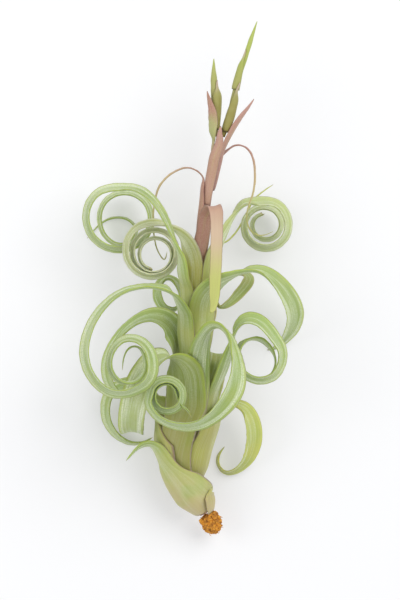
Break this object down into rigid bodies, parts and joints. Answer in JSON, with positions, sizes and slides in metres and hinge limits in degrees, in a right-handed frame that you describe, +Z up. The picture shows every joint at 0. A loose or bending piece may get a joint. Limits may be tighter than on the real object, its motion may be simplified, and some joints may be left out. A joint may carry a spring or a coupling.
{
  "type": "air plant",
  "caption": "Curly-leaved air plant with a pink flower stalk and two green buds, lying on its back on its curls, roots trimmed to a stump.",
  "frame": {"origin": "middle of the plant's box, on the surface it lies on", "axes": "+Y from the root stump to the tip of the long flower spike, +X to the right of that seen from above, +Z up off the surface"},
  "size_m": [0.146, 0.3335, 0.1083],
  "materials": {
    "leaf_pale": "matte, dusted with fine pale scales",
    "leaf_green": "matte",
    "leaf_olive": "satin",
    "leaf_yellow_green": "satin",
    "bract": "matte",
    "spike": "satin",
    "root": "rough, crumbly"
  },
  "bodies": {
    "root": {"bract_centre": "bract", "bract_folded_forward": "bract", "bract_left_long": "bract", "bract_left_upper": "bract", "bract_right_long": "bract", "bract_right_upper": "bract", "flower_spike_long": "spike", "flower_spike_short": "spike", "leaf_front_ring": "leaf_green", "leaf_front_upper_coil": "leaf_olive", "leaf_left_broad": "leaf_pale", "leaf_left_large_loop": "leaf_pale", "leaf_left_second_ring": "leaf_green", "leaf_left_small_loop": "leaf_green", "leaf_left_upper_coil": "leaf_pale", "leaf_lower_left_back": "leaf_green", "leaf_right_big_hook": "leaf_pale", "leaf_right_channelled": "leaf_olive", "leaf_right_coil": "leaf_green", "leaf_right_folded_back": "leaf_olive", "leaf_right_upper_coil": "leaf_yellow_green", "leaf_thin_back_right": "leaf_yellow_green", "old_leaf_base": "leaf_yellow_green", "outer_leaf_lower_left": "leaf_pale", "outer_leaf_lower_right": "leaf_yellow_green", "root_stump": "root", "scale_long_spike_lower": "spike", "scale_long_spike_upper": "spike", "scale_short_spike": "spike", "stem": "bract"}
  },
  "joints": []
}
